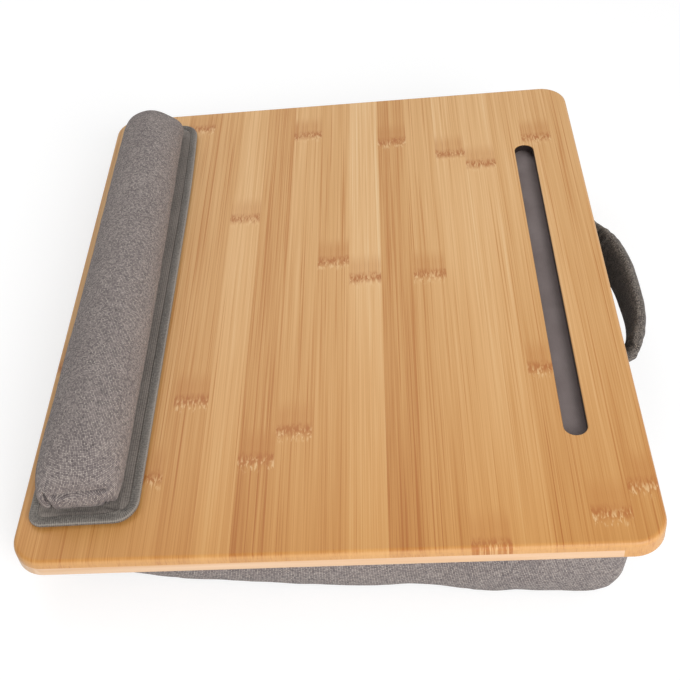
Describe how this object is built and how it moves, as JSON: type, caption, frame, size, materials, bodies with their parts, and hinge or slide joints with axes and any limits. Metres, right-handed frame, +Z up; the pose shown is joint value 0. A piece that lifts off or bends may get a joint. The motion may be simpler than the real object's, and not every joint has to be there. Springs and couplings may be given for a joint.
{
  "type": "lap tray with cushion",
  "caption": "Lap tray: bamboo board on a soft wedge cushion, with a padded wrist rest, a slot for a phone or tablet and a cloth carrying handle.",
  "frame": {"origin": "centre of the overall bounding box, on the surface that the cushion stands on", "axes": "+X to the user's right, +Y away from the user towards the handle, +Z up; the board rises 7.0 degrees towards +Y"},
  "size_m": [0.392, 0.3518, 0.079],
  "materials": {
    "bamboo_panel": "clear satin lacquer on flat bamboo strips",
    "bamboo_batten": "clear satin lacquer on edge-grain bamboo",
    "linen": "melange grey linen-look weave",
    "top_cloth": "plain grey polyester cloth",
    "base_cloth": "grey cloth over a stiff sheet",
    "binding_tape": "ribbed woven tape",
    "lining": "thin white lining",
    "filling": "loose fibre filling",
    "foam": "soft open-cell foam",
    "hook_tape": "moulded nylon hooks on woven tape",
    "loop_tape": "brushed nylon loops"
  },
  "bodies": {
    "cushion": {"cushion_cover": "linen", "cushion_fill_front": "filling", "cushion_fill_back": "filling", "cushion_baffle": "lining", "cushion_top_panel": "top_cloth", "cushion_loop_strips": "loop_tape", "handle_tab_left": "linen", "handle_tab_right": "linen"},
    "tray": {"top_panel": "bamboo_panel", "batten_back": "bamboo_batten", "batten_left": "bamboo_batten", "batten_right": "bamboo_batten", "batten_front": "bamboo_batten", "tray_hook_strips": "hook_tape", "wrist_hook_strip": "hook_tape"},
    "wrist_rest": {"wrist_loop_strip": "loop_tape", "wrist_base": "base_cloth", "wrist_binding": "binding_tape", "wrist_cover": "linen", "wrist_foam": "foam"},
    "handle": {"handle_cover": "linen", "handle_core": "foam"}
  },
  "joints": [
    {"name": "tray_lift", "type": "slide", "parent": "cushion", "child": "tray", "axis": [0, -0.1227, 0.9924], "range_m": [0, 0.06]},
    {"name": "wrist_rest_lift", "type": "slide", "parent": "tray", "child": "wrist_rest", "axis": [0, -0.1227, 0.9924], "range_m": [0, 0.05]},
    {"name": "handle_swing", "type": "hinge", "parent": "cushion", "child": "handle", "pos_m": [0, 0.14118, 0.06089], "axis": [1, 0, 0], "range_deg": [-30, 6]}
  ]
}
